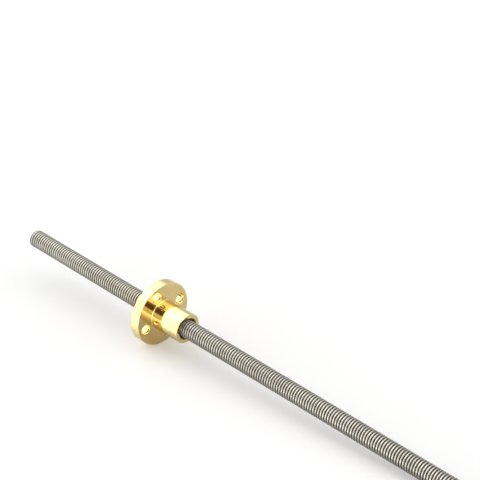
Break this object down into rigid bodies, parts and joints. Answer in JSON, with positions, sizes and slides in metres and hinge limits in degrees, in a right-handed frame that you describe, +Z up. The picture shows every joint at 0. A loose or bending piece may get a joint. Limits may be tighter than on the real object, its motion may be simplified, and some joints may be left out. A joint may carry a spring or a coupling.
{
  "type": "trapezoidal lead screw with flanged nut",
  "caption": "Straight threaded steel rod that carries a round-flanged brass travelling nut for turning rotation into linear motion.",
  "frame": {"origin": "on the ground under the middle of the screw's length, with the rim of the nut's flange and the far end of the screw touching the ground", "axes": "+Z up; +X along the screw towards the far end, the way the nut's barrel points (the screw's axis dips 3.4 degrees below +X as it lies); +Y sideways"},
  "size_m": [0.2, 0.022, 0.0221],
  "materials": {
    "screw_steel": "rolled thread with bright crests and dull grooves",
    "nut_brass": "turned and polished, with fine turning marks"
  },
  "bodies": {
    "screw": {"lead_screw": "screw_steel"},
    "nut": {"flanged_nut": "nut_brass"}
  },
  "joints": [
    {"name": "nut_travel", "type": "slide", "parent": "screw", "child": "nut", "axis": [0.9983, 0, -0.0588], "range_m": [-0.06, 0.124]}
  ]
}
